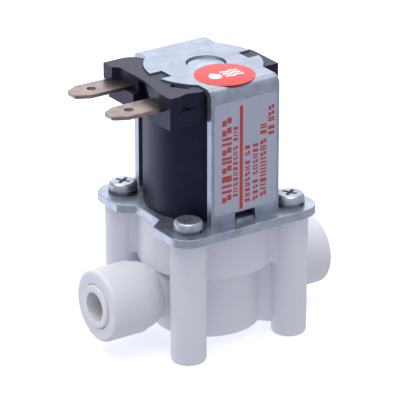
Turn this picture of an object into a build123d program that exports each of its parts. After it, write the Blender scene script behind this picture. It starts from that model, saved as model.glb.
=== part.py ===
from build123d import *
import os
from math import atan2, degrees, hypot, radians, tan

# Two-way solenoid valve for a drinking water line, with a push-in fitting for plastic tube at each end.
# The origin is on the valve's axis, at the floor between the four feet. +X runs from the inlet to the
# outlet, +Z is up along the coil, and -Y is the side with the rating label. All sizes are in millimetres.

os.makedirs("parts", exist_ok=True)

# Moulded valve body
post_spacing_x = 26.0
post_spacing_y = 25.4
post_radius = 3.8  # at the foot
post_draft = 0.4  # degrees, wider towards the top
foot_rounding = 0.7
body_height = 28.2
housing_depth = 10.95  # round housing of the diaphragm, down from the top face
housing_overlap = 0.45  # how far the housing runs into the posts
bowl_radius = 11.6
bowl_lift = 2.3  # from the floor to the underside
bowl_floor = 2.0
web_width = 6.6
rib_width = 2.4
web_rounding = 0.8
edge_rounding = 0.4
port_height = 11.4
port_root_radius = 6.3
port_root_length = 3.2  # straight stretch between the bowl and the flare under the cap

# Waterway inside the body
chamber_wall = 2.0
duct_radius = 2.3
duct_wall = 1.5
nozzle_radius = 2.9
nozzle_wall = 1.5

# Diaphragm, held between the body and the guide tube's flange
rim_thickness = 1.6
rim_width = 2.75
seat_drop = 1.6  # from the rim's underside to the seat
pad_radius = 6.2
pad_thickness = 1.8
skin_thickness = 0.7
insert_radius = 5.9
insert_stem_radius = 2.1
insert_flange = 0.9
insert_stem_drop = 1.2  # stem below the seat, inside the nozzle
pilot_radius = 0.6
pilot_tip_radius = 1.2
pilot_tip_slope = 0.3
pilot_tip_height = 0.6
bleed_radius = 0.35
bleed_position = 5.15

# Guide tube, plunger and fixed core
flange_thickness = 3.0
flange_roof = 1.2
flange_clearance = 0.05
recess_wall = 1.75  # of the housing, round the flange and the diaphragm's rim
tube_drop = 0.5  # top of the guide tube, below the top of the coil
tube_bore = 4.2
tube_wall = 0.65
plunger_clearance = 0.08
plunger_length = 18.1
plunger_travel = 2.0
stroke_gap = 0.1  # left between the plunger and the core with the valve open
seal_pad_radius = 2.3
seal_pad_thickness = 1.95
seal_pad_proud = 0.55
seal_pad_gap = 0.05
flute_radius = 0.6
spring_pocket_radius = 2.7
spring_pocket_depth = 7.0
spring_radius = 2.25
spring_wire = 0.25
spring_turns = 7
core_drop = 0.4  # below the top of the yoke
core_chamfer = 0.3
core_groove_lift = 4.0
core_groove_width = 1.9
core_groove_depth = 1.6
core_seal_section = 0.76

# Push-in fittings
tube_diameter = 6.35
tube_clearance = 0.075
tube_stop = 14.5  # from the valve's axis
seal_start = 17.8  # inner end of the ring's groove, from the valve's axis
seal_section = 1.76
seal_clearance = 0.02
backup_gap = 0.1
backup_clearance = 0.05
backup_thickness = 1.0
spigot_wall = 1.9
cap_reach = 28.1  # from the valve's axis to the cap's face
cap_length = 9.1
cap_wall = 1.0
cap_end = 2.9
cap_rounding = 0.8
cap_seam = 0.35
collet_wall = 1.05
collet_lip = 0.5
collet_lip_thickness = 1.3
collet_proud = 0.45
collet_length = 6.0
collet_clearance = 0.1
collet_lip_clearance = 0.15
collet_recess = 2.2
collet_barb = 0.45
collet_barb_length = 1.7
collet_barb_land = 0.8
collet_slit = 0.8
collet_slit_length = 2.6
collet_lead_in = 0.75
collet_rounding = 0.4
grip_thickness = 0.25
grip_depth = 0.8
grip_inset = 0.7  # from the collet's inner end

# Cover plate and its screws
plate_thickness = 1.8
plate_margin = 5.25  # from the screw centres to the plate's edges
plate_corner = 4.6
plate_recess = 3.2
plate_recess_width = 9.0
plate_recess_slope = 2.6
plate_hole_clearance = 0.1
screw_radius = 1.9
screw_depth = 8.0
screw_hole_end = 1.0  # left under the screw's end
screw_head_radius = 3.1
screw_head_height = 1.75
screw_head_edge = 0.85
screw_slot_width = 0.85
screw_slot_length = 3.4
screw_slot_depth = 1.0
screw_slot_angle = 30
screw_slot_taper = 8
screw_clearance = 0.2
washer_radius = 3.2
washer_thickness = 0.75
washer_gap = 0.7
washer_gap_angle = -70

# Coil and terminals
coil_height = 29.3
coil_to_washer = 1.45
coil_wall = 1.3
winding_inset = 1.0
bobbin_wall = 0.9
bobbin_flange = 1.2
bobbin_end = 0.75
bobbin_clearance = 0.15
block_reach = 17.5
block_half_width = 12.85
block_rear_shelf = 10.8
block_shelf_drop = 2.3  # top of the shelf, below the top of the coil
block_shelf_depth = 3.6
block_top_drop = 0.3  # below the top of the yoke
block_corner = 3.9  # rounding of the hood beside the rear leg
block_to_leg = 0.4
block_dip = 1.3  # hollow in the hood's outer side, between the blades
block_dip_rear = 9.5
block_dip_middle = 8.2
block_dip_foot = -1.0
block_dip_front = -8.7
block_dent = 0.75  # shallow notch in the hood's front side
block_dent_to_edge = 2.05
block_dent_to_leg = 1.55
pocket_width = 1.9  # pocket in the hood's top, beside the yoke's middle
pocket_length = 4.2
pocket_depth = 1.6
pocket_angle = 216
lug_step = 0.62  # outer side of the lug opposite the terminals, inside the coil's side
lug_front = -8.1
lug_bend = 0.5
lug_rear = 3.2
lug_depth = 3.0
slot_rear = 1.2
slot_front_top = 1.4
slot_front_foot = 4.5
slot_depth = 3.0
slot_roof = 0.5
blade_width = 6.3
blade_thickness = 0.8
blade_offset = 7.26
blade_reach = 29.0
blade_seat = 0.68  # left between the blade's root and the bobbin
blade_tip_chamfer = 1.5
blade_tip_length = 3.0
blade_rounding = 1.0
blade_hole_radius = 1.0
blade_hole_inset = 5.0

# Yoke
yoke_thickness = 1.5
yoke_bend = 2.0
yoke_to_washer = 1.2
yoke_leg_clearance = 0.1
coil_flat = 0.4  # depth of the flats under the legs
yoke_middle_step = 0.85  # edge of the yoke's round middle, inside the coil's side
yoke_middle_shift = 0.7  # towards the terminals
yoke_notch_width = 3.8
yoke_notch_depth = 3.0
yoke_notch_y = -0.7
yoke_hole_clearance = 0.12
yoke_fit = 0.15
foot_notch_width = 5.1
foot_notch_height = 2.2
tongue_height = 0.6
tongue_clearance = 0.4

# Labels
label_thickness = 0.1
label_side_margin = 0.7
label_top_margin = 3.3
label_foot_margin = 2.5
label_corner = 0.8
sticker_radius = 6.5
sticker_x = -0.8
sticker_y = -8.1

# Levels and radii that follow from the sizes above
post_reach = hypot(post_spacing_x, post_spacing_y) / 2
post_angle = degrees(atan2(post_spacing_y, post_spacing_x))
housing_radius = post_reach - post_radius + housing_overlap
housing_foot = body_height - housing_depth
chamber_radius = bowl_radius - chamber_wall
chamber_floor = bowl_lift + bowl_floor
flange_foot = body_height - flange_thickness
recess_floor = flange_foot - rim_thickness
recess_radius = housing_radius - recess_wall
flange_radius = recess_radius - flange_clearance
seat_level = recess_floor - seat_drop
plate_top = body_height + plate_thickness
coil_top = plate_top + coil_height
yoke_top = coil_top + yoke_thickness

tube_radius = tube_bore + tube_wall
plunger_radius = tube_bore - plunger_clearance
pilot_tip = seat_level + pad_thickness + insert_flange + pilot_tip_height
plunger_foot = pilot_tip + seal_pad_gap + seal_pad_proud
plunger_top = plunger_foot + plunger_length
core_foot = plunger_top + plunger_travel + stroke_gap
core_top = yoke_top - core_drop

tube_hole = tube_diameter / 2 + tube_clearance
collet_radius = tube_hole + collet_wall
collet_lip_radius = collet_radius + collet_lip
fitting_bore = tube_hole + seal_section
spigot_radius = fitting_bore + spigot_wall
cap_radius = spigot_radius + cap_wall
cap_start = cap_reach - cap_length
spigot_end = cap_reach - cap_end
collet_face = cap_reach + collet_proud
collet_foot = collet_face - collet_length

coil_radius = post_reach - washer_radius - coil_to_washer
coil_edge = yoke_bend - yoke_thickness + coil_flat
bobbin_radius = coil_radius - coil_wall
bobbin_bore = tube_radius + bobbin_clearance
barrel_radius = bobbin_bore + bobbin_wall
winding_radius = bobbin_radius - winding_inset
leg_inner = coil_radius - coil_flat + yoke_leg_clearance
leg_outer = leg_inner + yoke_thickness
yoke_half_width = post_spacing_x / 2 - washer_radius - yoke_to_washer
yoke_middle_radius = coil_radius - yoke_middle_step
block_top = yoke_top - block_top_drop
shelf_top = coil_top - block_shelf_drop
shelf_foot = shelf_top - block_shelf_depth
blade_root = bobbin_radius + blade_seat
lug_reach = coil_radius - lug_step


def port_plane(side):
    """Plane through a port's axis: its x runs outwards from the valve and its y is the radius."""
    return Plane(origin=(0, 0, port_height), x_dir=(side, 0, 0), z_dir=(0, -side, 0))


port_axis = Axis((0, 0, port_height), (1, 0, 0))
sides = {"inlet": -1, "outlet": 1}

# ---- Valve body: posts, diaphragm housing, bowl, ribs and the two port roots
with BuildPart() as valve_body:
    post_top_radius = post_radius + body_height * tan(radians(post_draft))
    with BuildSketch(Plane.XY.offset(body_height)):
        with GridLocations(post_spacing_x, post_spacing_y, 2, 2):
            Circle(post_top_radius)
    extrude(amount=-body_height, taper=post_draft)
    fillet(valve_body.edges().group_by(Axis.Z)[0], radius=foot_rounding)
    with BuildSketch(Plane.XY.offset(housing_foot)):
        Circle(housing_radius)
        with GridLocations(post_spacing_x, post_spacing_y, 2, 2):
            Circle(post_radius)
        Rectangle(2 * post_reach, web_width, rotation=post_angle)
        Rectangle(2 * post_reach, web_width, rotation=-post_angle)
        offset(amount=web_rounding)
        offset(amount=-web_rounding, mode=Mode.REPLACE)
    extrude(amount=housing_depth)
    with BuildSketch(Plane.XY.offset(bowl_lift)):
        Circle(bowl_radius)
        Rectangle(2 * post_reach, rib_width, rotation=post_angle)
        Rectangle(2 * post_reach, rib_width, rotation=-post_angle)
        offset(amount=edge_rounding)
        offset(amount=-edge_rounding, mode=Mode.REPLACE)
    extrude(amount=housing_foot - bowl_lift)
    for side in sides.values():
        with BuildSketch(port_plane(side)):
            with BuildLine():
                shoulder = cap_radius - cap_seam
                root = bowl_radius + port_root_length
                Polyline((0, 0), (0, port_root_radius), (root, port_root_radius))
                TangentArc((cap_start, shoulder), (root, port_root_radius), tangent=(-1, 0))
                Polyline(
                    (cap_start, shoulder),
                    (cap_start, spigot_radius),
                    (spigot_end, spigot_radius),
                    (spigot_end, 0),
                    (0, 0),
                )
            make_face()
        revolve(axis=port_axis)
    # Recess for the diaphragm and the guide tube's flange, and the chamber under it
    with BuildSketch(Plane.XY.offset(recess_floor)):
        Circle(recess_radius)
    extrude(amount=body_height - recess_floor, mode=Mode.SUBTRACT)
    with BuildSketch(Plane.XY.offset(chamber_floor)):
        Circle(chamber_radius)
    extrude(amount=recess_floor - chamber_floor, mode=Mode.SUBTRACT)
    # Outlet nozzle with its seat, and the outlet duct that crosses the chamber
    with BuildSketch(Plane.XY.offset(chamber_floor)):
        Circle(nozzle_radius + nozzle_wall)
    extrude(amount=seat_level - chamber_floor)
    with BuildSketch(Plane.YZ):
        with Locations((0, port_height)):
            Circle(duct_radius + duct_wall)
    extrude(amount=bowl_radius)
    with BuildSketch(Plane.XY.offset(port_height)):
        Circle(nozzle_radius)
    extrude(amount=seat_level - port_height, mode=Mode.SUBTRACT)
    with BuildSketch(Plane.YZ.offset(-tube_stop)):
        with Locations((0, port_height)):
            Circle(duct_radius)
    extrude(amount=tube_stop - chamber_radius + chamber_wall, mode=Mode.SUBTRACT)
    with BuildSketch(Plane.YZ):
        with Locations((0, port_height)):
            Circle(duct_radius)
    extrude(amount=tube_stop, mode=Mode.SUBTRACT)
    # Tube socket and seal groove of each port
    for side in sides.values():
        with BuildSketch(port_plane(side)):
            with BuildLine():
                Polyline(
                    (tube_stop, 0),
                    (tube_stop, tube_hole),
                    (seal_start, tube_hole),
                    (seal_start, fitting_bore),
                    (spigot_end, fitting_bore),
                    (spigot_end, 0),
                    close=True,
                )
            make_face()
        revolve(axis=port_axis, mode=Mode.SUBTRACT)
    # Screw holes
    with BuildSketch(Plane.XY.offset(body_height)):
        with GridLocations(post_spacing_x, post_spacing_y, 2, 2):
            Circle(screw_radius)
    extrude(amount=-screw_depth - screw_hole_end, mode=Mode.SUBTRACT)
valve_body.part.label = "valve_body"
export_step(valve_body.part, "parts/valve_body.step")

# ---- Diaphragm: clamped rim, thin skin and the pad that closes the seat
with BuildPart() as diaphragm:
    rim_inner = flange_radius - rim_width
    pad_top = seat_level + pad_thickness
    rim_middle = recess_floor + rim_thickness / 2
    pad_middle = seat_level + pad_thickness / 2 + skin_thickness / 4
    with BuildSketch(Plane.XZ):
        with BuildLine():
            Polyline(
                (insert_stem_radius, seat_level),
                (pad_radius, seat_level),
                (pad_radius, pad_middle - skin_thickness / 2),
                (chamber_radius, rim_middle - skin_thickness / 2),
                (rim_inner, rim_middle - skin_thickness / 2),
                (rim_inner, recess_floor),
                (flange_radius, recess_floor),
                (flange_radius, flange_foot),
                (rim_inner, flange_foot),
                (rim_inner, rim_middle + skin_thickness / 2),
                (chamber_radius, rim_middle + skin_thickness / 2),
                (pad_radius, pad_middle + skin_thickness / 2),
                (pad_radius, pad_top),
                (insert_stem_radius, pad_top),
                close=True,
            )
        make_face()
    revolve(axis=Axis.Z)
    with BuildSketch(Plane.XY.offset(seat_level)):
        with Locations((bleed_position, 0)):
            Circle(bleed_radius)
    extrude(amount=pad_thickness, mode=Mode.SUBTRACT)
diaphragm.part.label = "diaphragm"
export_step(diaphragm.part, "parts/diaphragm.step")

# ---- Rigid insert in the middle of the diaphragm, with the pilot hole and the bleed hole
with BuildPart() as diaphragm_insert:
    with BuildSketch(Plane.XZ):
        with BuildLine():
            Polyline(
                (pilot_radius, seat_level - insert_stem_drop),
                (insert_stem_radius, seat_level - insert_stem_drop),
                (insert_stem_radius, pad_top),
                (insert_radius, pad_top),
                (insert_radius, pad_top + insert_flange),
                (pilot_tip_radius + pilot_tip_slope, pad_top + insert_flange),
                (pilot_tip_radius, pilot_tip),
                (pilot_radius, pilot_tip),
                close=True,
            )
        make_face()
    revolve(axis=Axis.Z)
    with BuildSketch(Plane.XY.offset(pad_top)):
        with Locations((bleed_position, 0)):
            Circle(bleed_radius)
    extrude(amount=insert_flange, mode=Mode.SUBTRACT)
diaphragm_insert.part.label = "diaphragm_insert"
export_step(diaphragm_insert.part, "parts/diaphragm_insert.step")

# ---- Guide tube: its flange clamps the diaphragm, and the plunger slides in its bore
with BuildPart() as guide_tube:
    tube_top = coil_top - tube_drop
    with BuildSketch(Plane.XZ):
        with BuildLine():
            Polyline(
                (rim_inner, flange_foot),
                (flange_radius, flange_foot),
                (flange_radius, body_height),
                (tube_radius, body_height),
                (tube_radius, tube_top),
                (tube_bore, tube_top),
                (tube_bore, body_height - flange_roof),
                (rim_inner, body_height - flange_roof),
                close=True,
            )
        make_face()
    revolve(axis=Axis.Z)
guide_tube.part.label = "guide_tube"
export_step(guide_tube.part, "parts/guide_tube.step")

# ---- Plunger, with the seal in its foot and the pocket for its spring
with BuildPart() as plunger:
    with BuildSketch(Plane.XY.offset(plunger_foot)):
        Circle(plunger_radius)
        with PolarLocations(plunger_radius, 2):
            Circle(flute_radius, mode=Mode.SUBTRACT)
    extrude(amount=plunger_length)
    with BuildSketch(Plane.XY.offset(plunger_foot)):
        Circle(seal_pad_radius)
    extrude(amount=seal_pad_thickness - seal_pad_proud, mode=Mode.SUBTRACT)
    with BuildSketch(Plane.XY.offset(plunger_top)):
        Circle(spring_pocket_radius)
    extrude(amount=-spring_pocket_depth, mode=Mode.SUBTRACT)
plunger.part.label = "plunger"
export_step(plunger.part, "parts/plunger.step")

with BuildPart() as plunger_seal:
    with BuildSketch(Plane.XY.offset(pilot_tip + seal_pad_gap)):
        Circle(seal_pad_radius)
    extrude(amount=seal_pad_thickness)
plunger_seal.part.label = "plunger_seal"
export_step(plunger_seal.part, "parts/plunger_seal.step")

# ---- Return spring, from the bottom of the plunger's pocket to the fixed core
with BuildPart() as plunger_spring:
    spring_foot = plunger_top - spring_pocket_depth + spring_wire
    spring_height = core_foot - spring_wire - spring_foot
    with BuildLine():
        Helix(
            pitch=spring_height / spring_turns,
            height=spring_height,
            radius=spring_radius,
            center=(0, 0, spring_foot),
        )
    with BuildSketch(Plane(origin=(spring_radius, 0, spring_foot), x_dir=(1, 0, 0), z_dir=(0, 1, 0))):
        Circle(spring_wire)
    sweep(is_frenet=True)
plunger_spring.part.label = "plunger_spring"
export_step(plunger_spring.part, "parts/plunger_spring.step")

# ---- Fixed core, pressed into the top of the guide tube, with its seal ring
with BuildPart() as fixed_core:
    groove_foot = core_foot + core_groove_lift
    with BuildSketch(Plane.XZ):
        with BuildLine():
            Polyline(
                (0, core_foot),
                (tube_bore, core_foot),
                (tube_bore, groove_foot),
                (tube_bore - core_groove_depth, groove_foot),
                (tube_bore - core_groove_depth, groove_foot + core_groove_width),
                (tube_bore, groove_foot + core_groove_width),
                (tube_bore, core_top),
                (0, core_top),
                close=True,
            )
        make_face()
    revolve(axis=Axis.Z)
    chamfer(fixed_core.edges().group_by(Axis.Z)[-1], length=core_chamfer)
fixed_core.part.label = "fixed_core"
export_step(fixed_core.part, "parts/fixed_core.step")

with BuildPart() as core_seal:
    with Locations((0, 0, groove_foot + core_groove_width / 2)):
        Torus(tube_bore - core_seal_section - seal_clearance, core_seal_section)
core_seal.part.label = "core_seal"
export_step(core_seal.part, "parts/core_seal.step")

# ---- Push-in fitting at each port: cap, collet, grip ring, backup ring and tube seal
for name, side in sides.items():
    with BuildPart() as fitting_cap:
        with BuildSketch(port_plane(side)):
            with BuildLine():
                Polyline(
                    (cap_start, spigot_radius),
                    (cap_start, cap_radius),
                    (cap_reach, cap_radius),
                    (cap_reach, collet_lip_radius + collet_lip_clearance),
                    (cap_reach - collet_recess, collet_lip_radius + collet_lip_clearance),
                    (cap_reach - collet_recess, collet_radius + collet_clearance),
                    (spigot_end, collet_radius + collet_clearance),
                    (spigot_end, spigot_radius),
                    close=True,
                )
            cap_profile = make_face()
            outer = cap_profile.vertices().group_by(Axis.Y)[-1]
            fillet(outer.sort_by(Axis.X)[-1], radius=cap_rounding)
            chamfer(outer.sort_by(Axis.X)[0], length=cap_seam)
        revolve(axis=port_axis)
    fitting_cap.part.label = f"{name}_cap"
    export_step(fitting_cap.part, f"parts/{name}_cap.step")

    with BuildPart() as collet:
        lip_foot = collet_face - collet_lip_thickness
        barb_top = collet_foot + collet_barb_length
        grip_foot = collet_foot + grip_inset
        with BuildSketch(port_plane(side)):
            with BuildLine():
                Polyline(
                    (collet_foot, tube_hole),
                    (collet_foot, collet_radius + collet_barb),
                    (collet_foot + collet_barb_land, collet_radius + collet_barb),
                    (barb_top, collet_radius),
                    (lip_foot, collet_radius),
                    (lip_foot, collet_lip_radius),
                    (collet_face, collet_lip_radius),
                    (collet_face, tube_hole),
                    close=True,
                )
            collet_profile = make_face()
            face_corners = collet_profile.vertices().group_by(Axis.X)[-1]
            fillet(face_corners.sort_by(Axis.Y)[-1], radius=collet_rounding)
            chamfer(face_corners.sort_by(Axis.Y)[0], length=collet_lead_in)
        revolve(axis=port_axis)
        with BuildSketch(Plane(origin=(side * collet_foot, 0, port_height), z_dir=(side, 0, 0))):
            Rectangle(collet_slit, 2 * cap_radius)
            Rectangle(2 * cap_radius, collet_slit)
        extrude(amount=collet_slit_length, mode=Mode.SUBTRACT)
        with BuildSketch(Plane(origin=(side * grip_foot, 0, port_height), z_dir=(side, 0, 0))):
            Circle(tube_hole + grip_depth)
        extrude(amount=grip_thickness, mode=Mode.SUBTRACT)
    collet.part.label = f"{name}_collet"
    export_step(collet.part, f"parts/{name}_collet.step")

    with BuildPart() as grip_ring:
        with BuildSketch(Plane(origin=(side * grip_foot, 0, port_height), z_dir=(side, 0, 0))):
            Circle(tube_hole + grip_depth)
            Circle(tube_hole, mode=Mode.SUBTRACT)
        extrude(amount=grip_thickness)
    grip_ring.part.label = f"{name}_grip_ring"
    export_step(grip_ring.part, f"parts/{name}_grip_ring.step")

    with BuildPart() as tube_seal:
        with BuildSketch(port_plane(side)):
            with Locations((seal_start + seal_section / 2, fitting_bore - seal_section / 2)):
                Circle(seal_section / 2 - seal_clearance)
        revolve(axis=port_axis)
    tube_seal.part.label = f"{name}_tube_seal"
    export_step(tube_seal.part, f"parts/{name}_tube_seal.step")

    with BuildPart() as backup_ring:
        backup_start = seal_start + seal_section + backup_gap
        with BuildSketch(Plane(origin=(side * backup_start, 0, port_height), z_dir=(side, 0, 0))):
            Circle(fitting_bore)
            Circle(tube_hole + backup_clearance, mode=Mode.SUBTRACT)
        extrude(amount=backup_thickness)
    backup_ring.part.label = f"{name}_backup_ring"
    export_step(backup_ring.part, f"parts/{name}_backup_ring.step")

# ---- Cover plate that holds the guide tube's flange down
with BuildPart() as cover_plate:
    plate_half_x = post_spacing_x / 2 + plate_margin
    plate_half_y = post_spacing_y / 2 + plate_margin
    with BuildSketch(Plane.XY.offset(body_height)):
        RectangleRounded(2 * plate_half_x, 2 * plate_half_y, plate_corner)
        Circle(tube_radius + plate_hole_clearance, mode=Mode.SUBTRACT)
        with GridLocations(post_spacing_x, post_spacing_y, 2, 2):
            Circle(screw_radius + screw_clearance, mode=Mode.SUBTRACT)
        for side in sides.values():
            with BuildLine():
                Polyline(
                    (side * plate_half_x, -plate_recess_width / 2 - plate_recess_slope),
                    (side * (plate_half_x - plate_recess), -plate_recess_width / 2),
                    (side * (plate_half_x - plate_recess), plate_recess_width / 2),
                    (side * plate_half_x, plate_recess_width / 2 + plate_recess_slope),
                    close=True,
                )
            make_face(mode=Mode.SUBTRACT)
    extrude(amount=plate_thickness)
    plate_rim = cover_plate.faces().sort_by(Axis.Z)[-1].outer_wire().edges()
    fillet(plate_rim, radius=edge_rounding / 2)
    # Tongues that stand in the notches of the yoke's feet
    with BuildSketch(Plane.XY.offset(plate_top)):
        with Locations((0, leg_inner + yoke_thickness / 2), (0, -leg_inner - yoke_thickness / 2)):
            Rectangle(foot_notch_width - 2 * tongue_clearance, yoke_thickness)
    extrude(amount=tongue_height)
cover_plate.part.label = "cover_plate"
export_step(cover_plate.part, "parts/cover_plate.step")

# ---- Four cross-recess pan head screws with split spring washers
with BuildPart() as spring_washers:
    with BuildSketch(Plane.XY.offset(plate_top)):
        with GridLocations(post_spacing_x, post_spacing_y, 2, 2):
            Circle(washer_radius)
            Circle(screw_radius + screw_clearance, mode=Mode.SUBTRACT)
            with PolarLocations((washer_radius + screw_radius) / 2, 1, start_angle=washer_gap_angle):
                Rectangle(washer_radius, washer_gap, mode=Mode.SUBTRACT)
    extrude(amount=washer_thickness)
spring_washers.part.label = "spring_washers"
export_step(spring_washers.part, "parts/spring_washers.step")

with BuildPart() as cover_screws:
    head_foot = plate_top + washer_thickness
    head_top = head_foot + screw_head_height
    with BuildSketch(Plane.XY.offset(head_foot)):
        with GridLocations(post_spacing_x, post_spacing_y, 2, 2):
            Circle(screw_head_radius)
    extrude(amount=screw_head_height)
    head_rims = cover_screws.faces().group_by(Axis.Z)[-1].edges()
    fillet(head_rims, radius=screw_head_height - screw_head_edge)
    with BuildSketch(Plane.XY.offset(head_top)):
        with GridLocations(post_spacing_x, post_spacing_y, 2, 2):
            Rectangle(screw_slot_length, screw_slot_width, rotation=screw_slot_angle)
            Rectangle(screw_slot_width, screw_slot_length, rotation=screw_slot_angle)
    extrude(amount=-screw_slot_depth, taper=screw_slot_taper, mode=Mode.SUBTRACT)
    with BuildSketch(Plane.XY.offset(head_foot)):
        with GridLocations(post_spacing_x, post_spacing_y, 2, 2):
            Circle(screw_radius)
    extrude(amount=-(head_foot - body_height) - screw_depth)
cover_screws.part.label = "cover_screws"
export_step(cover_screws.part, "parts/cover_screws.step")

# ---- Coil: bobbin, winding, and the overmould with the terminal block
with BuildPart() as bobbin:
    bobbin_foot = plate_top + bobbin_end
    bobbin_top = coil_top - bobbin_end
    with BuildSketch(Plane.XY.offset(bobbin_foot)):
        Circle(bobbin_radius)
        Circle(bobbin_bore, mode=Mode.SUBTRACT)
    extrude(amount=bobbin_top - bobbin_foot)
    with BuildSketch(Plane.XY.offset(bobbin_foot + bobbin_flange)):
        Circle(coil_radius)
        Circle(barrel_radius, mode=Mode.SUBTRACT)
    extrude(amount=bobbin_top - bobbin_foot - 2 * bobbin_flange, mode=Mode.SUBTRACT)
bobbin.part.label = "bobbin"
export_step(bobbin.part, "parts/bobbin.step")

with BuildPart() as winding:
    with BuildSketch(Plane.XY.offset(bobbin_foot + bobbin_flange)):
        Circle(winding_radius)
        Circle(barrel_radius, mode=Mode.SUBTRACT)
    extrude(amount=bobbin_top - bobbin_foot - 2 * bobbin_flange)
winding.part.label = "winding"
export_step(winding.part, "parts/winding.step")

# Outline of the yoke's top with a notch on each side, and the same outline grown by a fitting gap
with BuildSketch(mode=Mode.PRIVATE) as yoke_outline:
    with Locations((-yoke_middle_shift, 0)):
        Circle(yoke_middle_radius)
        with Locations((yoke_middle_radius, yoke_notch_y), (-yoke_middle_radius, yoke_notch_y)):
            Rectangle(2 * yoke_notch_depth, yoke_notch_width, mode=Mode.SUBTRACT)
    Rectangle(2 * yoke_half_width, 2 * leg_outer)

with BuildSketch(mode=Mode.PRIVATE) as yoke_room:
    offset(yoke_outline.sketch, amount=yoke_fit)

with BuildPart() as coil_overmould:
    block_inner = -yoke_half_width - block_to_leg
    with BuildSketch(Plane.XY.offset(plate_top)):
        Circle(coil_radius)
    extrude(amount=coil_height)
    chamfer(coil_overmould.edges().group_by(Axis.Z)[-1], length=coil_edge)
    # Flats under the yoke's legs
    with BuildSketch(Plane.XY.offset(plate_top)):
        Rectangle(2 * coil_radius, 2 * (coil_radius - coil_flat))
    extrude(amount=coil_height, mode=Mode.INTERSECT)
    # Shelf under the blades
    with BuildSketch(Plane.XY.offset(shelf_foot)):
        with BuildLine():
            Polyline(
                (-block_reach, -block_half_width),
                (block_inner, -block_half_width),
                (block_inner, block_rear_shelf),
                (-block_reach, block_rear_shelf),
                close=True,
            )
        make_face()
    extrude(amount=block_shelf_depth)
    # Hood over the blades
    dent_start = -block_reach + block_dent_to_edge
    dent_end = block_inner - block_dent_to_leg
    with BuildSketch(Plane.XY.offset(shelf_top)):
        with BuildLine():
            Polyline(
                (-block_reach, -block_half_width),
                (dent_start, -block_half_width),
                ((dent_start + dent_end) / 2, -block_half_width + block_dent),
                (dent_end, -block_half_width),
                (block_inner, -block_half_width),
                (block_inner, block_half_width),
                (-block_reach, block_half_width),
                (-block_reach, block_dip_rear),
                (-block_reach + block_dip, block_dip_middle),
                (-block_reach + block_dip, block_dip_foot),
                (-block_reach, block_dip_front),
                close=True,
            )
        hood = make_face()
        fillet(hood.vertices().group_by(Axis.Y)[-1].sort_by(Axis.X)[-1], radius=block_corner)
    extrude(amount=block_top - shelf_top)
    # Lug opposite the terminals
    with BuildSketch(Plane.XY.offset(block_top - lug_depth)):
        with BuildLine():
            Polyline((lug_reach, lug_bend), (lug_reach, lug_front), (yoke_half_width, lug_front))
            Polyline((yoke_half_width, lug_front), (yoke_half_width, lug_rear))
            lug_tip = (yoke_middle_radius - yoke_middle_shift, lug_rear)
            Line((yoke_half_width, lug_rear), lug_tip)
            TangentArc((lug_reach, lug_bend), lug_tip, tangent=(0, 1))
        make_face()
    extrude(amount=lug_depth)
    # Room for the yoke's top
    with BuildSketch(Plane.XY.offset(coil_top)):
        add(yoke_room.sketch)
    extrude(amount=yoke_thickness, mode=Mode.SUBTRACT)
    # Pocket beside the yoke's middle
    with BuildSketch(Plane.XY.offset(block_top)):
        with Locations((-yoke_middle_shift, 0)):
            with PolarLocations(yoke_middle_radius + pocket_width / 2, 1, start_angle=pocket_angle):
                Rectangle(pocket_width, pocket_length)
    extrude(amount=-pocket_depth, mode=Mode.SUBTRACT)
    # Slot between the two terminals, wider towards its foot
    with BuildSketch(Plane.YZ.offset(-block_reach)):
        with BuildLine():
            Polyline(
                (slot_rear, shelf_foot),
                (slot_rear, block_top - slot_roof),
                (-slot_front_top, block_top - slot_roof),
                (-slot_front_foot, shelf_top),
                (-slot_front_foot, shelf_foot),
                close=True,
            )
        make_face()
    extrude(amount=slot_depth, mode=Mode.SUBTRACT)
    # Slits that hold the blades
    blade_middle = -(blade_reach + blade_root) / 2
    with BuildSketch(Plane.XY.offset(shelf_top)):
        with Locations((blade_middle, blade_offset), (blade_middle, -blade_offset)):
            Rectangle(blade_reach - blade_root, blade_width)
    extrude(amount=blade_thickness, mode=Mode.SUBTRACT)
    # Room for the bobbin, its winding and the guide tube
    with BuildSketch(Plane.XY.offset(bobbin_foot)):
        Circle(bobbin_radius)
    extrude(amount=bobbin_flange, mode=Mode.SUBTRACT)
    with BuildSketch(Plane.XY.offset(bobbin_top)):
        Circle(bobbin_radius)
    extrude(amount=-bobbin_flange, mode=Mode.SUBTRACT)
    with BuildSketch(Plane.XY.offset(bobbin_foot)):
        Circle(winding_radius)
    extrude(amount=bobbin_top - bobbin_foot, mode=Mode.SUBTRACT)
    with BuildSketch(Plane.XY.offset(plate_top)):
        Circle(bobbin_bore)
    extrude(amount=coil_height + yoke_thickness, mode=Mode.SUBTRACT)
coil_overmould.part.label = "coil_overmould"
export_step(coil_overmould.part, "parts/coil_overmould.step")

# ---- Two quick-connect blades
for name, place in {"front": -blade_offset, "rear": blade_offset}.items():
    with BuildPart() as blade:
        with BuildSketch(Plane.XY.offset(shelf_top)):
            with BuildLine():
                Polyline(
                    (-blade_root, place - blade_width / 2),
                    (-blade_root, place + blade_width / 2),
                    (-blade_reach + blade_tip_length, place + blade_width / 2),
                    (-blade_reach, place + blade_width / 2 - blade_tip_chamfer),
                    (-blade_reach, place - blade_width / 2 + blade_tip_chamfer),
                    (-blade_reach + blade_tip_length, place - blade_width / 2),
                    close=True,
                )
            blade_profile = make_face()
            fillet(blade_profile.vertices().group_by(Axis.X)[0], radius=blade_rounding)
            with Locations((-blade_reach + blade_hole_inset, place)):
                Circle(blade_hole_radius, mode=Mode.SUBTRACT)
        extrude(amount=blade_thickness)
    blade.part.label = f"{name}_terminal"
    export_step(blade.part, f"parts/{name}_terminal.step")

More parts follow.
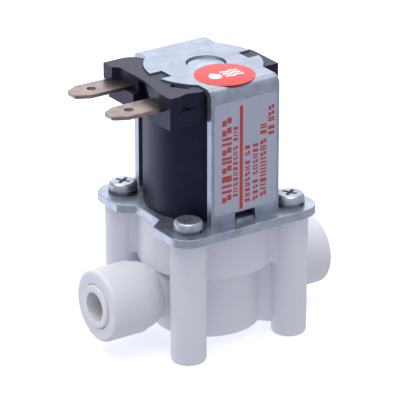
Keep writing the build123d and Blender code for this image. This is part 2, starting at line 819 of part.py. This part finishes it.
# ---- Yoke: one bent steel strip, with a leg on each side of the coil
with BuildPart() as yoke:
    with BuildSketch(Plane.YZ.offset(-yoke_half_width)):
        with BuildLine():
            FilletPolyline(
                (leg_outer, plate_top),
                (leg_outer, yoke_top),
                (-leg_outer, yoke_top),
                (-leg_outer, plate_top),
                radius=yoke_bend,
            )
            Line((-leg_outer, plate_top), (-leg_inner, plate_top))
            FilletPolyline(
                (-leg_inner, plate_top),
                (-leg_inner, coil_top),
                (leg_inner, coil_top),
                (leg_inner, plate_top),
                radius=yoke_bend - yoke_thickness,
            )
            Line((leg_inner, plate_top), (leg_outer, plate_top))
        make_face()
    extrude(amount=2 * yoke_half_width)
    with BuildSketch(Plane.XY.offset(coil_top)):
        with Locations((-yoke_middle_shift, 0)):
            Circle(yoke_middle_radius)
    extrude(amount=yoke_thickness)
    with BuildSketch(Plane.XY.offset(coil_top)):
        Circle(tube_bore + yoke_hole_clearance)
        with Locations((-yoke_middle_shift, 0)):
            with Locations((yoke_middle_radius, yoke_notch_y), (-yoke_middle_radius, yoke_notch_y)):
                Rectangle(2 * yoke_notch_depth, yoke_notch_width)
    extrude(amount=yoke_thickness, mode=Mode.SUBTRACT)
    with BuildSketch(Plane.XZ.offset(-leg_outer)):
        with Locations((0, plate_top + foot_notch_height / 2)):
            Rectangle(foot_notch_width, foot_notch_height)
    extrude(amount=2 * leg_outer, mode=Mode.SUBTRACT)
yoke.part.label = "yoke"
export_step(yoke.part, "parts/yoke.step")

# ---- Rating label on the front leg and round sticker on the yoke's top
with BuildPart() as rating_label:
    label_foot = plate_top + label_foot_margin
    label_height = yoke_top - label_top_margin - label_foot
    with BuildSketch(Plane.XZ.offset(leg_outer)):
        with Locations((0, label_foot + label_height / 2)):
            RectangleRounded(2 * (yoke_half_width - label_side_margin), label_height, label_corner)
    extrude(amount=label_thickness)
rating_label.part.label = "rating_label"
export_step(rating_label.part, "parts/rating_label.step")

with BuildPart() as round_sticker:
    with BuildSketch(Plane.XY.offset(yoke_top)):
        with Locations((sticker_x, sticker_y)):
            Circle(sticker_radius)
    extrude(amount=label_thickness)
round_sticker.part.label = "round_sticker"
export_step(round_sticker.part, "parts/round_sticker.step")
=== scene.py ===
# Solenoid valve for a drinking water line: finishes, printed labels, studio and camera.
import bmesh
import bpy
import math
import random
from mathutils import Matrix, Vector


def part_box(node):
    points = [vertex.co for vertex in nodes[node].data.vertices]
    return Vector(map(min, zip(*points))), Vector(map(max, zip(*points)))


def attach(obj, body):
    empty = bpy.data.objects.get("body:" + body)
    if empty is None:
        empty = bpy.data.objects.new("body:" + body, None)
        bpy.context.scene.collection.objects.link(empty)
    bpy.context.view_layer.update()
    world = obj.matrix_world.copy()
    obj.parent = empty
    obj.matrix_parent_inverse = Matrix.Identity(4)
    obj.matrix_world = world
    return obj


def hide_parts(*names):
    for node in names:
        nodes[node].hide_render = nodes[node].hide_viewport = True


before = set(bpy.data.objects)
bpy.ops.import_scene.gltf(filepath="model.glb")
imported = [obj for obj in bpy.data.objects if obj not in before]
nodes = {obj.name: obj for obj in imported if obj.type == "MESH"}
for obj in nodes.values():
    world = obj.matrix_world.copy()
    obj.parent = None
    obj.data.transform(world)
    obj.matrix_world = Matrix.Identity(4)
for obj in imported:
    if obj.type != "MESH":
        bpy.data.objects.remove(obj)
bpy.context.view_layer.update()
print("frame loaded:", len(nodes), "nodes")

mm = 0.001


# ---- small tools

def hexColour(text):
    # sRGB hex to the linear values that shaders use
    channels = [int(text[i:i + 2], 16) / 255 for i in (1, 3, 5)]
    linear = [c / 12.92 if c <= 0.04045 else ((c + 0.055) / 1.055) ** 2.4 for c in channels]
    return (*linear, 1.0)


def addNode(tree, kind, sockets=None, links=None, stops=None, **settings):
    # one node with its settings, its socket values, what feeds it and, on a colour ramp, its stops
    node = tree.nodes.new(kind)
    for name, value in settings.items():
        setattr(node, name, value)
    for name, value in (sockets or {}).items():
        node.inputs[name].default_value = value
    for name, source in (links or {}).items():
        tree.links.new(source, node.inputs[name])
    if stops:
        for element, (position, colour) in zip(node.color_ramp.elements, stops):
            element.position = position
            element.color = hexColour(colour)
    return node


def newMaterial(name, **surface):
    # an empty material with its shader; constant values go straight on the shader's sockets
    material = bpy.data.materials.new(name)
    material.use_nodes = True
    tree = material.node_tree
    tree.nodes.clear()
    shader = addNode(tree, "ShaderNodeBsdfPrincipled", sockets=surface)
    addNode(tree, "ShaderNodeOutputMaterial", links={"Surface": shader.outputs["BSDF"]})
    place = addNode(tree, "ShaderNodeTexCoord").outputs["Object"]
    return material, tree, shader, place


def perMetre(size):
    # noise scale for a feature of this size in millimetres
    return 1 / (size * mm)


def dressSurface(tree, shader, colour, grain, roughness, grainSpan=(0.0, 1.0)):
    # colour, and a roughness that follows the grain between its two values
    tree.links.new(colour, shader.inputs["Base Color"])
    gloss = addNode(
        tree, "ShaderNodeMapRange", links={"Value": grain},
        sockets={
            "From Min": grainSpan[0],
            "From Max": grainSpan[1],
            "To Min": roughness[0],
            "To Max": roughness[1],
        })
    tree.links.new(gloss.outputs["Result"], shader.inputs["Roughness"])


def addRelief(tree, shader, height, strength, depth):
    # fine relief of this depth in millimetres
    bump = addNode(tree, "ShaderNodeBump", links={"Height": height},
                   sockets={"Strength": strength, "Distance": depth * mm})
    tree.links.new(bump.outputs["Normal"], shader.inputs["Normal"])


# ---- finishes: sizes in millimetres

def mouldedPolypropylene(name, tint, shade, grain, roughness):
    # natural polypropylene from a polished mould: milky, softly glossy, faint flow clouds and a fine skin
    finish = {
        "ior": 1.49,
        "scatterWeight": 0.25,
        "scatter": (1.6, 1.7, 1.9),
        "coat": 0.08,
        "coatRoughness": 0.25,
        "cloudSize": 9.0,
        "cloudDetail": 3.0,
        "clouds": (0.3, 0.7),
        "skinDetail": 4.0,
        "skinDepth": 0.012,
        "skinStrength": 0.35,
        "smoother": 0.05,
        "rougher": 0.07,
    }
    material, tree, shader, place = newMaterial(name, **{
        "IOR": finish["ior"],
        "Subsurface Weight": finish["scatterWeight"],
        "Subsurface Radius": [reach * mm for reach in finish["scatter"]],
        "Subsurface Scale": 1.0,
        "Coat Weight": finish["coat"],
        "Coat Roughness": finish["coatRoughness"],
    })
    clouds = addNode(tree, "ShaderNodeTexNoise", links={"Vector": place},
                     sockets={"Scale": perMetre(finish["cloudSize"]), "Detail": finish["cloudDetail"]})
    colour = addNode(tree, "ShaderNodeValToRGB", links={"Fac": clouds.outputs["Fac"]},
                     stops=zip(finish["clouds"], (shade, tint)))
    skin = addNode(tree, "ShaderNodeTexNoise", links={"Vector": place},
                   sockets={"Scale": perMetre(grain), "Detail": finish["skinDetail"]})
    dressSurface(tree, shader, colour.outputs["Color"], skin.outputs["Fac"],
                 (roughness - finish["smoother"], roughness + finish["rougher"]))
    addRelief(tree, shader, skin.outputs["Fac"], finish["skinStrength"], finish["skinDepth"])
    return material


def zincPlatedSteel(name, tint, shade, roughness):
    # cold-rolled strip with clear-passivated zinc: bluish, faint rolling lines, cloudy patches of plating
    finish = {
        "metallic": 0.8,
        "rollingWidth": 0.25,
        "rollingLength": 9.0,
        "rollingDetail": 3.0,
        "patchSize": 3.5,
        "patchDetail": 5.0,
        "patchRoughness": 0.62,
        "patches": (0.32, 0.62),
        "pitSize": 0.3,
        "pitShare": 0.35,
        "wornSpan": (0.6, 1.4),
        "smoother": 0.08,
        "rougher": 0.1,
        "depth": 0.01,
        "strength": 0.35,
    }
    material, tree, shader, place = newMaterial(name, **{"Metallic": finish["metallic"]})
    rolled = addNode(tree, "ShaderNodeMapping", links={"Vector": place},
                     sockets={"Scale": (1.0, 1.0, finish["rollingWidth"] / finish["rollingLength"])})
    lines = addNode(tree, "ShaderNodeTexNoise", links={"Vector": rolled.outputs["Vector"]},
                    sockets={"Scale": perMetre(finish["rollingWidth"]), "Detail": finish["rollingDetail"]})
    patches = addNode(
        tree, "ShaderNodeTexNoise", links={"Vector": place},
        sockets={
            "Scale": perMetre(finish["patchSize"]),
            "Detail": finish["patchDetail"],
            "Roughness": finish["patchRoughness"],
        })
    pits = addNode(tree, "ShaderNodeTexVoronoi", links={"Vector": place},
                   sockets={"Scale": perMetre(finish["pitSize"])})
    colour = addNode(tree, "ShaderNodeValToRGB", links={"Fac": patches.outputs["Fac"]},
                     stops=zip(finish["patches"], (shade, tint)))
    worn = addNode(tree, "ShaderNodeMath", operation="ADD",
                   links={0: patches.outputs["Fac"], 1: lines.outputs["Fac"]})
    dressSurface(tree, shader, colour.outputs["Color"], worn.outputs["Value"],
                 (roughness - finish["smoother"], roughness + finish["rougher"]), finish["wornSpan"])
    texture = addNode(tree, "ShaderNodeMath", operation="MULTIPLY_ADD",
                      links={0: pits.outputs["Distance"], 2: lines.outputs["Fac"]},
                      sockets={1: finish["pitShare"]})
    addRelief(tree, shader, texture.outputs["Value"], finish["strength"], finish["depth"])
    return material


def glassFilledNylon(name, tint, shade, sheen, roughness):
    # black glass-filled nylon: satin skin with short fibre marks just under the surface
    finish = {
        "ior": 1.45,
        "fibre": 0.22,
        "fibreDetail": 5.0,
        "fibreBend": 1.2,
        "cloudSize": 5.0,
        "cloudDetail": 3.0,
        "clouds": (0.3, 0.7),
        "smoother": 0.08,
        "rougher": 0.14,
        "depth": 0.015,
        "strength": 0.4,
    }
    material, tree, shader, place = newMaterial(
        name, **{"IOR": finish["ior"], "Specular Tint": hexColour(sheen)})
    fibres = addNode(
        tree, "ShaderNodeTexNoise", links={"Vector": place},
        sockets={
            "Scale": perMetre(finish["fibre"]),
            "Detail": finish["fibreDetail"],
            "Distortion": finish["fibreBend"],
        })
    clouds = addNode(tree, "ShaderNodeTexNoise", links={"Vector": place},
                     sockets={"Scale": perMetre(finish["cloudSize"]), "Detail": finish["cloudDetail"]})
    colour = addNode(tree, "ShaderNodeValToRGB", links={"Fac": clouds.outputs["Fac"]},
                     stops=zip(finish["clouds"], (shade, tint)))
    dressSurface(tree, shader, colour.outputs["Color"], fibres.outputs["Fac"],
                 (roughness - finish["smoother"], roughness + finish["rougher"]))
    addRelief(tree, shader, fibres.outputs["Fac"], finish["strength"], finish["depth"])
    return material


def brightMetal(name, tint, shade, roughness, grain, direction=(1.0, 1.0, 1.0), metallic=1.0):
    # small stamped or turned metal piece: fine tool marks, slightly dulled where it was handled
    finish = {
        "markDetail": 4.0,
        "dullSize": 2.4,
        "dullDetail": 3.0,
        "dulled": (0.35, 0.6),
        "smoother": 0.07,
        "rougher": 0.1,
        "depth": 0.008,
        "strength": 0.3,
    }
    material, tree, shader, place = newMaterial(name, **{"Metallic": metallic})
    turned = addNode(tree, "ShaderNodeMapping", links={"Vector": place}, sockets={"Scale": direction})
    marks = addNode(tree, "ShaderNodeTexNoise", links={"Vector": turned.outputs["Vector"]},
                    sockets={"Scale": perMetre(grain), "Detail": finish["markDetail"]})
    dull = addNode(tree, "ShaderNodeTexNoise", links={"Vector": place},
                   sockets={"Scale": perMetre(finish["dullSize"]), "Detail": finish["dullDetail"]})
    colour = addNode(tree, "ShaderNodeValToRGB", links={"Fac": dull.outputs["Fac"]},
                     stops=zip(finish["dulled"], (shade, tint)))
    dressSurface(tree, shader, colour.outputs["Color"], marks.outputs["Fac"],
                 (roughness - finish["smoother"], roughness + finish["rougher"]))
    addRelief(tree, shader, marks.outputs["Fac"], finish["strength"], finish["depth"])
    return material


def softRubber(name, tint, shade):
    # moulded rubber: matt, dusty in its pores
    finish = {
        "ior": 1.52,
        "poreSize": 0.35,
        "poreDetail": 5.0,
        "pores": (0.35, 0.75),
        "roughness": (0.6, 0.8),
        "depth": 0.02,
        "strength": 0.4,
    }
    material, tree, shader, place = newMaterial(name, **{"IOR": finish["ior"]})
    pores = addNode(tree, "ShaderNodeTexNoise", links={"Vector": place},
                    sockets={"Scale": perMetre(finish["poreSize"]), "Detail": finish["poreDetail"]})
    colour = addNode(tree, "ShaderNodeValToRGB", links={"Fac": pores.outputs["Fac"]},
                     stops=zip(finish["pores"], (shade, tint)))
    dressSurface(tree, shader, colour.outputs["Color"], pores.outputs["Fac"], finish["roughness"])
    addRelief(tree, shader, pores.outputs["Fac"], finish["strength"], finish["depth"])
    return material


def enamelledWire(name, tint, shade):
    # enamelled copper wire laid turn by turn: ridges, drawn coarser than the real wire so that they show;
    # the colour darkens in the grooves between turns as painted shade
    finish = {
        "coat": 0.6,
        "coatRoughness": 0.15,
        "ridgePitch": 1.76,
        "waveRate": 20,  # a wave texture turns by this many radians over each unit
        "distortion": 0.4,
        "shadedGrooveStops": (0.2, 0.8),
        "roughness": (0.4, 0.22),
        "depth": 0.1,
        "strength": 0.8,
    }
    material, tree, shader, place = newMaterial(name, **{
        "Metallic": 1.0,
        "Coat Weight": finish["coat"],
        "Coat Roughness": finish["coatRoughness"],
    })
    scale = 2 * math.pi / finish["waveRate"] * perMetre(finish["ridgePitch"])
    turns = addNode(tree, "ShaderNodeTexWave", links={"Vector": place}, bands_direction="Z",
                    sockets={"Scale": scale, "Distortion": finish["distortion"]})
    # painted shade: the colour runs from the dark shade colour in the grooves to the copper tint on the
    # crests, following the relief
    colour = addNode(tree, "ShaderNodeValToRGB", links={"Fac": turns.outputs["Fac"]},
                     stops=zip(finish["shadedGrooveStops"], (shade, tint)))
    dressSurface(tree, shader, colour.outputs["Color"], turns.outputs["Fac"], finish["roughness"])
    addRelief(tree, shader, turns.outputs["Fac"], finish["strength"], finish["depth"])
    return material


def silverLabelFilm(name, tint, shade):
    # silver polyester film under clear varnish: pale, bluish, with very faint lines along its length
    finish = {
        "metallic": 0.35,
        "coat": 0.2,
        "coatRoughness": 0.35,
        "lineWidth": 0.3,
        "lineLength": 6.0,
        "lineDetail": 2.0,
        "lines": (0.2, 0.8),
        "roughness": (0.38, 0.52),
    }
    material, tree, shader, place = newMaterial(name, **{
        "Metallic": finish["metallic"],
        "Coat Weight": finish["coat"],
        "Coat Roughness": finish["coatRoughness"],
    })
    drawn = addNode(tree, "ShaderNodeMapping", links={"Vector": place},
                    sockets={"Scale": (1.0, 1.0, finish["lineWidth"] / finish["lineLength"])})
    lines = addNode(tree, "ShaderNodeTexNoise", links={"Vector": drawn.outputs["Vector"]},
                    sockets={"Scale": perMetre(finish["lineWidth"]), "Detail": finish["lineDetail"]})
    colour = addNode(tree, "ShaderNodeValToRGB", links={"Fac": lines.outputs["Fac"]},
                     stops=zip(finish["lines"], (shade, tint)))
    dressSurface(tree, shader, colour.outputs["Color"], lines.outputs["Fac"], finish["roughness"])
    return material


def printedInk(name, tint, shade, roughness):
    # screen-printed ink or printed vinyl: even colour with a faint mottle where the film is thin
    finish = {
        "ior": 1.5,
        "mottleSize": 0.6,
        "mottleDetail": 4.0,
        "mottle": (0.35, 0.65),
        "smoother": 0.05,
        "rougher": 0.08,
    }
    material, tree, shader, place = newMaterial(name, **{"IOR": finish["ior"]})
    mottle = addNode(tree, "ShaderNodeTexNoise", links={"Vector": place},
                     sockets={"Scale": perMetre(finish["mottleSize"]), "Detail": finish["mottleDetail"]})
    colour = addNode(tree, "ShaderNodeValToRGB", links={"Fac": mottle.outputs["Fac"]},
                     stops=zip(finish["mottle"], (shade, tint)))
    dressSurface(tree, shader, colour.outputs["Color"], mottle.outputs["Fac"],
                 (roughness - finish["smoother"], roughness + finish["rougher"]))
    return material


whitePolypropylene = mouldedPolypropylene("white polypropylene", "#EFEFF2", "#E8E9EE", 0.5, 0.38)
whiteAcetal = mouldedPolypropylene("white acetal", "#F4F4F4", "#ECECEE", 0.4, 0.3)
greyNylon = mouldedPolypropylene("grey nylon", "#6A6D72", "#5C5F64", 0.4, 0.42)
zincStrip = zincPlatedSteel("zinc plated strip", "#B2BAC5", "#99A2AE", 0.34)
# the cover's zinc is a lighter copy of the strip's zinc: painted light for the brighter top of the cover
zincPlatePaintedLighter = zincPlatedSteel("zinc plated cover", "#BCC4CE", "#9CA5B2", 0.32)
blackNylon = glassFilledNylon("black glass filled nylon", "#1A1A27", "#12121C", "#C4C6FF", 0.36)
tinnedBrass = brightMetal("tinned brass", "#A39189", "#8B7A73", 0.3, 0.3, (0.08, 1.0, 1.0))
nickelSteel = brightMetal("nickel plated steel", "#C4C8D0", "#9FA5AF", 0.34, 0.25, metallic=0.8)
springSteel = brightMetal("zinc plated spring steel", "#8E9198", "#6A6D74", 0.4, 0.25)
stainlessSteel = brightMetal("ferritic stainless steel", "#B9C4D0", "#9AA6B4", 0.3, 0.2)
blackRubber = softRubber("black nitrile rubber", "#2A2A2C", "#151516")
# the wire's darker colour is painted shade for the grooves between its turns
copperWire = enamelledWire("enamelled copper wire", "#C9703A", "#6E3216")
labelFilm = silverLabelFilm("silver label film", "#C0C5D4", "#B6BBCA")
redInk = printedInk("red label ink", "#CF4A42", "#BF3C36", 0.45)
redVinyl = printedInk("red sticker vinyl", "#EC423C", "#E03A35", 0.4)
whiteInk = printedInk("white sticker ink", "#FBF3F0", "#F3E6E2", 0.4)

finishes = {
    "valve_body": whitePolypropylene,
    "inlet_cap": whitePolypropylene,
    "outlet_cap": whitePolypropylene,
    "inlet_collet": whiteAcetal,
    "outlet_collet": whiteAcetal,
    "inlet_backup_ring": greyNylon,
    "outlet_backup_ring": greyNylon,
    "guide_tube": greyNylon,
    "diaphragm_insert": greyNylon,
    "inlet_grip_ring": stainlessSteel,
    "outlet_grip_ring": stainlessSteel,
    "inlet_tube_seal": blackRubber,
    "outlet_tube_seal": blackRubber,
    "diaphragm": blackRubber,
    "plunger_seal": blackRubber,
    "core_seal": blackRubber,
    "plunger": stainlessSteel,
    "plunger_spring": stainlessSteel,
    "fixed_core": stainlessSteel,
    "cover_plate": zincPlatePaintedLighter,
    "yoke": zincStrip,
    "cover_screws": nickelSteel,
    "spring_washers": springSteel,
    "bobbin": blackNylon,
    "coil_overmould": blackNylon,
    "winding": copperWire,
    "front_terminal": tinnedBrass,
    "rear_terminal": tinnedBrass,
    "rating_label": labelFilm,
    "round_sticker": redVinyl,
}
for node, finish in finishes.items():
    data = nodes[node].data
    data.materials.clear()
    data.materials.append(finish)
print("finishes given to", len(finishes), "nodes")


# ---- printed label and sticker

def selectWhere(test, mode):
    # in edit mode: select the vertices, or the edges by their middle, that pass the test
    bpy.ops.mesh.select_all(action="DESELECT")
    bpy.ops.mesh.select_mode(type=mode)
    shape = bmesh.from_edit_mesh(bpy.context.object.data)
    for vertex in shape.verts:
        if mode == "VERT" and test(vertex.co):
            vertex.select = True
    for edge in shape.edges:
        if mode == "EDGE" and test((edge.verts[0].co + edge.verts[1].co) / 2):
            edge.select = True
    shape.select_flush_mode()
    bmesh.update_edit_mesh(bpy.context.object.data)


def startPiece(name):
    # an empty mesh object at the origin, left in edit mode
    bpy.ops.object.select_all(action="DESELECT")
    bpy.ops.mesh.primitive_plane_add(size=mm)
    piece = bpy.context.object
    piece.name = name
    bpy.ops.object.mode_set(mode="EDIT")
    bpy.ops.mesh.select_all(action="SELECT")
    bpy.ops.mesh.delete(type="VERT")
    return piece


def finishPiece(piece, thickness, material):
    # give the flat print its ink thickness, turn its faces outwards and hand it to the frame
    bpy.ops.mesh.select_all(action="SELECT")
    bpy.ops.mesh.normals_make_consistent(inside=False)
    bpy.ops.object.mode_set(mode="OBJECT")
    film = piece.modifiers.new("ink film", "SOLIDIFY")
    film.thickness = thickness
    film.offset = 0
    bpy.ops.object.modifier_apply(modifier=film.name)
    bpy.ops.object.mode_set(mode="EDIT")
    bpy.ops.mesh.select_all(action="SELECT")
    bpy.ops.mesh.normals_make_consistent(inside=False)
    bpy.ops.object.mode_set(mode="OBJECT")
    piece.data.materials.append(material)
    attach(piece, "housing")


def addMark(across, up, width, height, depth):
    # a flat printed block on the front leg, facing the label's side
    spot = (across, depth, up)
    bpy.ops.mesh.primitive_plane_add(size=1, location=spot, rotation=(math.pi / 2, 0, 0))
    bpy.ops.transform.resize(value=(width, 1, height), center_override=spot)


def printLabel():
    # rows of plain printed blocks that run up the label, beside one long rule
    labelPrint = {
        "ink": 0.02,
        "corner": 0.08,
        "cornerSegments": 2,
        "seed": 11,
        "markSpread": (0.85, 1.15),  # shortest and longest mark, as shares of the row's mark
        "blockShare": 0.8,
        "stepNarrowing": 2.3,
        "stepSpread": 4,
        "stepShift": 8,
        "stepShare": 0.75,
        "wordGap": 3.0,
        "wordChance": 0.1,
        "rule": {"x": -1.1, "width": 0.8, "foot": 0.3, "length": 23.4},
    }
    # heading and text rows: where each stands, its length, and its marks with their gaps and strokes
    columns = ("x", "width", "foot", "length", "mark", "gap", "stroke")
    rows = {
        "heading": (-4.75, 2.5, 2.6, 19.0, 1.7, 0.45, 0.62),
        "first": (-2.55, 1.15, 3.4, 15.6, 0.85, 0.35, 0.3),
        "second": (0.5, 1.3, 1.5, 12.6, 0.95, 0.35, 0.34),
        "third": (2.5, 1.35, 1.5, 13.0, 0.95, 0.35, 0.34),
        "fourth": (4.5, 1.6, 2.0, 16.4, 1.1, 0.35, 0.38),
        "fifth": (6.5, 1.6, 15.5, 6.0, 1.0, 0.3, 0.38),
    }
    low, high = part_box("rating_label")
    depth = low[1] - labelPrint["ink"] * mm / 2
    draw = random.Random(labelPrint["seed"])
    piece = startPiece("label_print")
    for values in rows.values():
        row = dict(zip(columns, values))
        up = row["foot"]
        across, width, stroke = row["x"] * mm, row["width"] * mm, row["stroke"] * mm
        while up < row["foot"] + row["length"]:
            height = row["mark"] * draw.uniform(*labelPrint["markSpread"]) * mm
            middle = low[2] + up * mm + height / 2
            kind = draw.choice(["block", "pair", "steps"])
            if kind == "block":
                addMark(across, middle, width, height * labelPrint["blockShare"], depth)
            if kind == "pair":
                for end in (-1, 1):
                    addMark(across, middle + end * (height - stroke) / 2, width, stroke, depth)
            if kind == "steps":
                for end in (-1, 1):
                    addMark(
                        across + end * width / labelPrint["stepSpread"],
                        middle + end * height / labelPrint["stepShift"],
                        width / labelPrint["stepNarrowing"],
                        height * labelPrint["stepShare"],
                        depth,
                    )
            wordEnds = draw.random() < labelPrint["wordChance"]
            up += height / mm + row["gap"] * (labelPrint["wordGap"] if wordEnds else 1.0)
    rule = labelPrint["rule"]
    addMark(rule["x"] * mm, low[2] + (rule["foot"] + rule["length"] / 2) * mm,
            rule["width"] * mm, rule["length"] * mm, depth)
    bpy.ops.mesh.select_all(action="SELECT")
    bpy.ops.mesh.bevel(
        offset=labelPrint["corner"] * mm, segments=labelPrint["cornerSegments"], affect="VERTICES")
    finishPiece(piece, labelPrint["ink"] * mm, redInk)


def makeSticker():
    # round vinyl sticker with a rounded edge, printed with a water drop and three ripples
    sticker = {
        "film": 0.075,
        "ink": 0.02,
        "edge": 0.03,
        "edgeSegments": 3,
        "segments": 128,
        "smoothAngle": 50,
        "dropRadius": 1.45,
        "dropX": -2.3,
        "dropSegments": 48,
        "rippleX": 1.75,
        "rippleWidth": 4.2,
        "rippleHeight": 0.75,
        "rippleStep": 1.25,
        "ripples": 3,
        "rippleWave": 0.25,
        "rippleWaves": 2,
        "rippleCuts": 24,
    }
    low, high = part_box("round_sticker")
    radius = (high[0] - low[0]) / 2
    middle = ((low[0] + high[0]) / 2, (low[1] + high[1]) / 2)
    bpy.ops.object.select_all(action="DESELECT")
    bpy.ops.mesh.primitive_cylinder_add(
        vertices=sticker["segments"], radius=radius, depth=sticker["film"] * mm,
        location=(*middle, low[2] + sticker["film"] * mm / 2))
    film = bpy.context.object
    film.name = "round_sticker_film"
    bpy.ops.object.transform_apply(location=True, rotation=True, scale=True)
    bpy.ops.object.mode_set(mode="EDIT")
    top = low[2] + sticker["film"] * mm
    selectWhere(lambda spot: spot.z > top - sticker["ink"] * mm / 2, "EDGE")
    bpy.ops.mesh.bevel(offset=sticker["edge"] * mm, segments=sticker["edgeSegments"], affect="EDGES")
    bpy.ops.object.mode_set(mode="OBJECT")
    bpy.ops.object.shade_smooth_by_angle(angle=math.radians(sticker["smoothAngle"]))
    film.data.materials.append(redVinyl)
    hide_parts("round_sticker")
    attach(film, "housing")

    inkHeight = top + sticker["ink"] * mm / 2
    drop = startPiece("sticker_mark")
    spot = (middle[0] + sticker["dropX"] * mm, middle[1], inkHeight)
    size = sticker["dropRadius"] * mm
    bpy.ops.mesh.primitive_circle_add(
        vertices=sticker["dropSegments"], radius=size, fill_type="NGON", location=spot)
    # the drop's point: the top of the circle is drawn out to where its 45 degree tangents meet
    tip, shoulder, above = 0.995, 0.72, 1.2  # heights over the circle's middle, as shares of its radius
    selectWhere(lambda place: place.y > spot[1] + size * tip, "VERT")
    bpy.ops.transform.translate(value=(0, size * (math.sqrt(2) - 1), 0))
    selectWhere(lambda place: spot[1] + size * shoulder < place.y < spot[1] + size * above, "VERT")
    bpy.ops.mesh.dissolve_verts()
    # ripples: flat bars, cut across and moved up and down in turn
    for index in range(sticker["ripples"]):
        across = middle[0] + sticker["rippleX"] * mm
        along = middle[1] + (index - (sticker["ripples"] - 1) / 2) * sticker["rippleStep"] * mm
        bar = (across, along, inkHeight)
        bpy.ops.mesh.primitive_grid_add(
            x_subdivisions=sticker["rippleCuts"], y_subdivisions=1, size=1, location=bar)
        bpy.ops.transform.resize(
            value=(sticker["rippleWidth"] * mm, sticker["rippleHeight"] * mm, 1), center_override=bar)
        shape = bmesh.from_edit_mesh(drop.data)
        for vertex in [v for v in shape.verts if v.select]:
            share = (vertex.co.x - across) / (sticker["rippleWidth"] * mm)
            phase = share * 2 * sticker["rippleWaves"] * math.pi
            vertex.co.y += sticker["rippleWave"] * mm * math.sin(phase)
        bmesh.update_edit_mesh(drop.data)
    finishPiece(drop, sticker["ink"] * mm, whiteInk)


printLabel()
makeSticker()
print("label print and sticker made")


# ---- studio

studio = {
    "floorSize": 6.0,
    "floorGlow": 0.5,
    "glowColour": "#F4F5FF",
    "skyColour": "#DEE0EE",
    "skyStrength": 0.72,
    "lightsLookAt": 30,  # millimetres up the valve
    "paperRoughness": 0.9,
    "paperGrain": 60,
    "paperColours": ((0.3, "#F6F6F7"), (0.7, "#FBFBFB")),
}
bpy.ops.object.select_all(action="DESELECT")
bpy.ops.mesh.primitive_plane_add(size=studio["floorSize"], location=(0, 0, 0))
floor = bpy.context.object
floor.name = "studio_floor"
material, tree, shader, place = newMaterial("pale studio floor", **{
    "Roughness": studio["paperRoughness"],
    "Emission Color": hexColour(studio["glowColour"]),
    "Emission Strength": studio["floorGlow"],
})
paper = addNode(tree, "ShaderNodeTexNoise", links={"Vector": place},
                sockets={"Scale": perMetre(studio["paperGrain"])})
tone = addNode(tree, "ShaderNodeValToRGB", links={"Fac": paper.outputs["Fac"]}, stops=studio["paperColours"])
tree.links.new(tone.outputs["Color"], shader.inputs["Base Color"])
floor.data.materials.append(material)
# the floor only takes shadows, so that the panels below its level still show in the glossy pieces
floor.visible_glossy = False
floor.visible_diffuse = False
floor.visible_shadow = False

world = bpy.data.worlds.new("studio room")
bpy.context.scene.world = world
world.use_nodes = True
world.node_tree.nodes["Background"].inputs["Color"].default_value = hexColour(studio["skyColour"])
world.node_tree.nodes["Background"].inputs["Strength"].default_value = studio["skyStrength"]

# softboxes: place and size in metres, watts, colour, and whether each lights matt surfaces
softboxes = {
    "top": {
        "at": (-0.08, 0.12, 1.1), "size": (1.2, 1.2), "power": 11.5, "colour": "#FFFFFF", "diffuse": True},
    "back sweep": {
        "at": (0.85, 1.2, 0.62), "size": (2.2, 1.1), "power": 8.0, "colour": "#F6F7FF", "diffuse": False},
    "left reflector": {
        "at": (-0.75, 1.25, -0.45), "size": (1.7, 1.2), "power": 6.5, "colour": "#EEF0FF", "diffuse": False},
}
target = Vector((0, 0, studio["lightsLookAt"] * mm))
for name, box in softboxes.items():
    light = bpy.data.lights.new(name, "AREA")
    light.shape = "RECTANGLE"
    light.size, light.size_y = box["size"]
    light.energy = box["power"]
    light.color = hexColour(box["colour"])[:3]
    lamp = bpy.data.objects.new(name, light)
    lamp.location = box["at"]
    lamp.rotation_euler = (target - lamp.location).to_track_quat("-Z", "Y").to_euler()
    lamp.visible_diffuse = box["diffuse"]
    lamp.visible_camera = False
    bpy.context.scene.collection.objects.link(lamp)
bpy.context.scene.view_settings.view_transform = "Standard"

# camera: a long lens, above the inlet and the label
lens = {"azimuth": -33.9, "elevation": 23.19, "distance": 0.6868, "aim": (0, 0, 30.5 * mm),
        "focal": 288.27, "shiftX": -0.0152, "shiftY": -0.0133}
azimuth, elevation = math.radians(lens["azimuth"]), math.radians(lens["elevation"])
level = math.cos(elevation)
back = Vector((math.sin(azimuth) * level, -math.cos(azimuth) * level, math.sin(elevation)))
cameraData = bpy.data.cameras.new("camera")
camera = bpy.data.objects.new("camera", cameraData)
bpy.context.scene.collection.objects.link(camera)
camera.location = Vector(lens["aim"]) + back * lens["distance"]
camera.rotation_mode = "QUATERNION"
camera.rotation_quaternion = (-back).to_track_quat("-Z", "Y")
cameraData.lens = lens["focal"]
cameraData.shift_x = lens["shiftX"]
cameraData.shift_y = lens["shiftY"]
bpy.context.scene.camera = camera
print("studio and camera ready")
